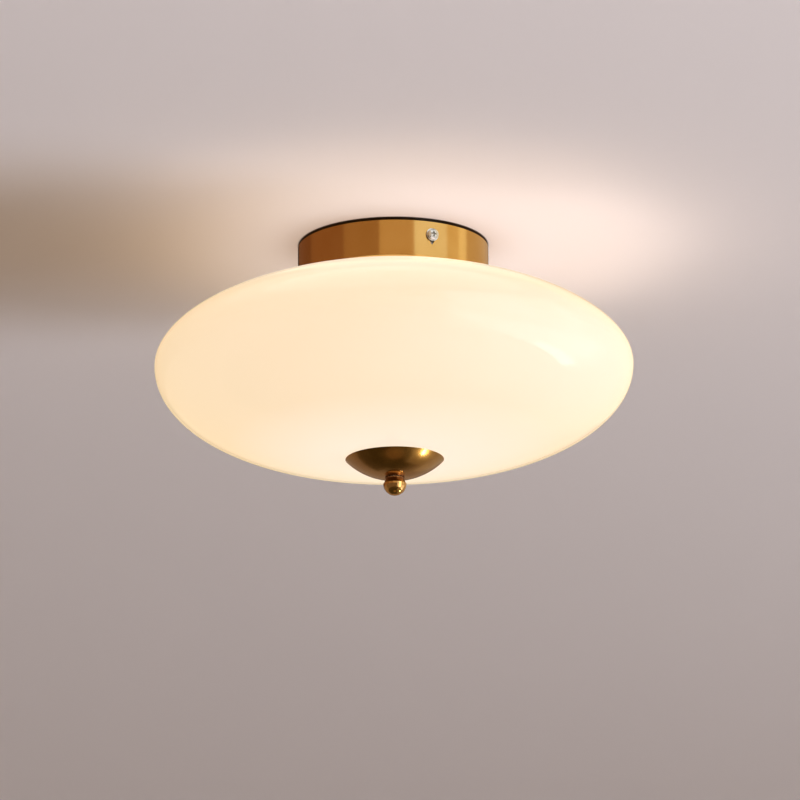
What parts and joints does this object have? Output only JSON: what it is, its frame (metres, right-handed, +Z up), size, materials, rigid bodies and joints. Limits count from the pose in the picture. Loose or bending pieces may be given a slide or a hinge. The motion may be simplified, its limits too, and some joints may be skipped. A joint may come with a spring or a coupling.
{
  "type": "ceiling light",
  "caption": "Flush ceiling light: brass canopy, flattened opal glass shade, brass dish cap and ball finial on a threaded rod, with plug-in bulbs inside.",
  "frame": {"origin": "on the ceiling plane, on the axis of the rod, at the middle of the bracket's upper face", "axes": "+Z up into the ceiling, +Y along the bracket towards the rear side screw"},
  "size_m": [0.3, 0.3, 0.1619],
  "materials": {
    "canopy_brass": "brushed, lacquered",
    "dish_brass": "satin, antiqued",
    "finial_brass": "polished, lacquered",
    "opal_glass": "opal, satin",
    "bright_zinc": "zinc plated",
    "screw_nickel": "nickel plated",
    "terminal_brass": "machined",
    "white_enamel": "baked enamel",
    "lamp_ceramic": "glazed steatite",
    "bulb_base": "moulded",
    "bulb_globe": "opal, moulded",
    "pin_nickel": "nickel-plated wire",
    "block_nylon": "moulded",
    "grommet_rubber": "moulded",
    "clear_silicone": "moulded",
    "brown_insulation": "extruded",
    "blue_insulation": "extruded",
    "earth_insulation": "extruded, striped",
    "copper": "bare strands"
  },
  "bodies": {
    "root": {"mounting_bracket": "bright_zinc", "bracket_earth_screw": "terminal_brass", "canopy": "canopy_brass", "threaded_rod": "bright_zinc", "floor_washer": "bright_zinc", "canopy_nuts": "bright_zinc", "upper_gasket": "clear_silicone", "lamp_plate": "white_enamel", "plate_washers": "bright_zinc", "plate_nuts": "bright_zinc", "lampholder_1": "lamp_ceramic", "lampholder_2": "lamp_ceramic", "lampholder_3": "lamp_ceramic", "holder_cover_1": "lamp_ceramic", "holder_cover_2": "lamp_ceramic", "holder_cover_3": "lamp_ceramic", "holder_screws": "bright_zinc", "terminal_block": "block_nylon", "terminal_sleeves": "terminal_brass", "clamp_screws": "bright_zinc", "block_screws": "bright_zinc", "floor_grommet": "grommet_rubber", "brown_lead_1": "brown_insulation", "brown_lead_2": "brown_insulation", "brown_lead_3": "brown_insulation", "blue_lead_1": "blue_insulation", "blue_lead_2": "blue_insulation", "blue_lead_3": "blue_insulation", "earth_lead": "earth_insulation", "lead_cores": "copper", "earth_tag": "bright_zinc", "tag_screw": "bright_zinc", "tag_nut": "bright_zinc"},
    "bulb_1": {"bulb_1_base": "bulb_base", "bulb_1_pins": "pin_nickel", "bulb_1_globe": "bulb_globe"},
    "bulb_2": {"bulb_2_base": "bulb_base", "bulb_2_pins": "pin_nickel", "bulb_2_globe": "bulb_globe"},
    "bulb_3": {"bulb_3_base": "bulb_base", "bulb_3_pins": "pin_nickel", "bulb_3_globe": "bulb_globe"},
    "shade": {"glass_shade": "opal_glass", "shade_bush": "clear_silicone"},
    "dish": {"dish_cap": "dish_brass", "dish_ring": "clear_silicone"},
    "finial": {"ball_finial": "finial_brass"},
    "front_washer": {"side_washer_front": "screw_nickel"},
    "front_screw": {"side_screw_front": "screw_nickel"},
    "back_washer": {"side_washer_back": "screw_nickel"},
    "back_screw": {"side_screw_back": "screw_nickel"}
  },
  "joints": [
    {"name": "shade_lower", "type": "slide", "parent": "root", "child": "shade", "axis": [0, 0, -1], "range_m": [0, 0.11]},
    {"name": "dish_lower", "type": "slide", "parent": "shade", "child": "dish", "axis": [0, 0, -1], "range_m": [0, 0.007]},
    {"name": "finial_unscrew", "type": "hinge", "parent": "dish", "child": "finial", "pos_m": [0, 0, -0.1545], "axis": [0, 0, -1], "range_deg": [0, 2530]},
    {"name": "bulb_1_pull", "type": "slide", "parent": "root", "child": "bulb_1", "axis": [0, 0, -1], "range_m": [0, 0.018]},
    {"name": "bulb_2_pull", "type": "slide", "parent": "root", "child": "bulb_2", "axis": [0, 0, -1], "range_m": [0, 0.018]},
    {"name": "bulb_3_pull", "type": "slide", "parent": "root", "child": "bulb_3", "axis": [0, 0, -1], "range_m": [0, 0.018]},
    {"name": "front_screw_out", "type": "slide", "parent": "root", "child": "front_washer", "axis": [0, -1, 0], "range_m": [0, 0.007]},
    {"name": "front_screw_turn", "type": "hinge", "parent": "front_washer", "child": "front_screw", "pos_m": [0, -0.061, -0.0095], "axis": [0, -1, 0], "range_deg": [0, 3610]},
    {"name": "back_screw_out", "type": "slide", "parent": "root", "child": "back_washer", "axis": [0, 1, 0], "range_m": [0, 0.007]},
    {"name": "back_screw_turn", "type": "hinge", "parent": "back_washer", "child": "back_screw", "pos_m": [0, 0.061, -0.0095], "axis": [0, 1, 0], "range_deg": [0, 3610]}
  ],
  "couplings": [
    {"joint": "finial_unscrew", "follows": "dish_lower", "rad_per_m": 6283.2},
    {"joint": "front_screw_turn", "follows": "front_screw_out", "rad_per_m": 8976},
    {"joint": "back_screw_turn", "follows": "back_screw_out", "rad_per_m": 8976}
  ]
}
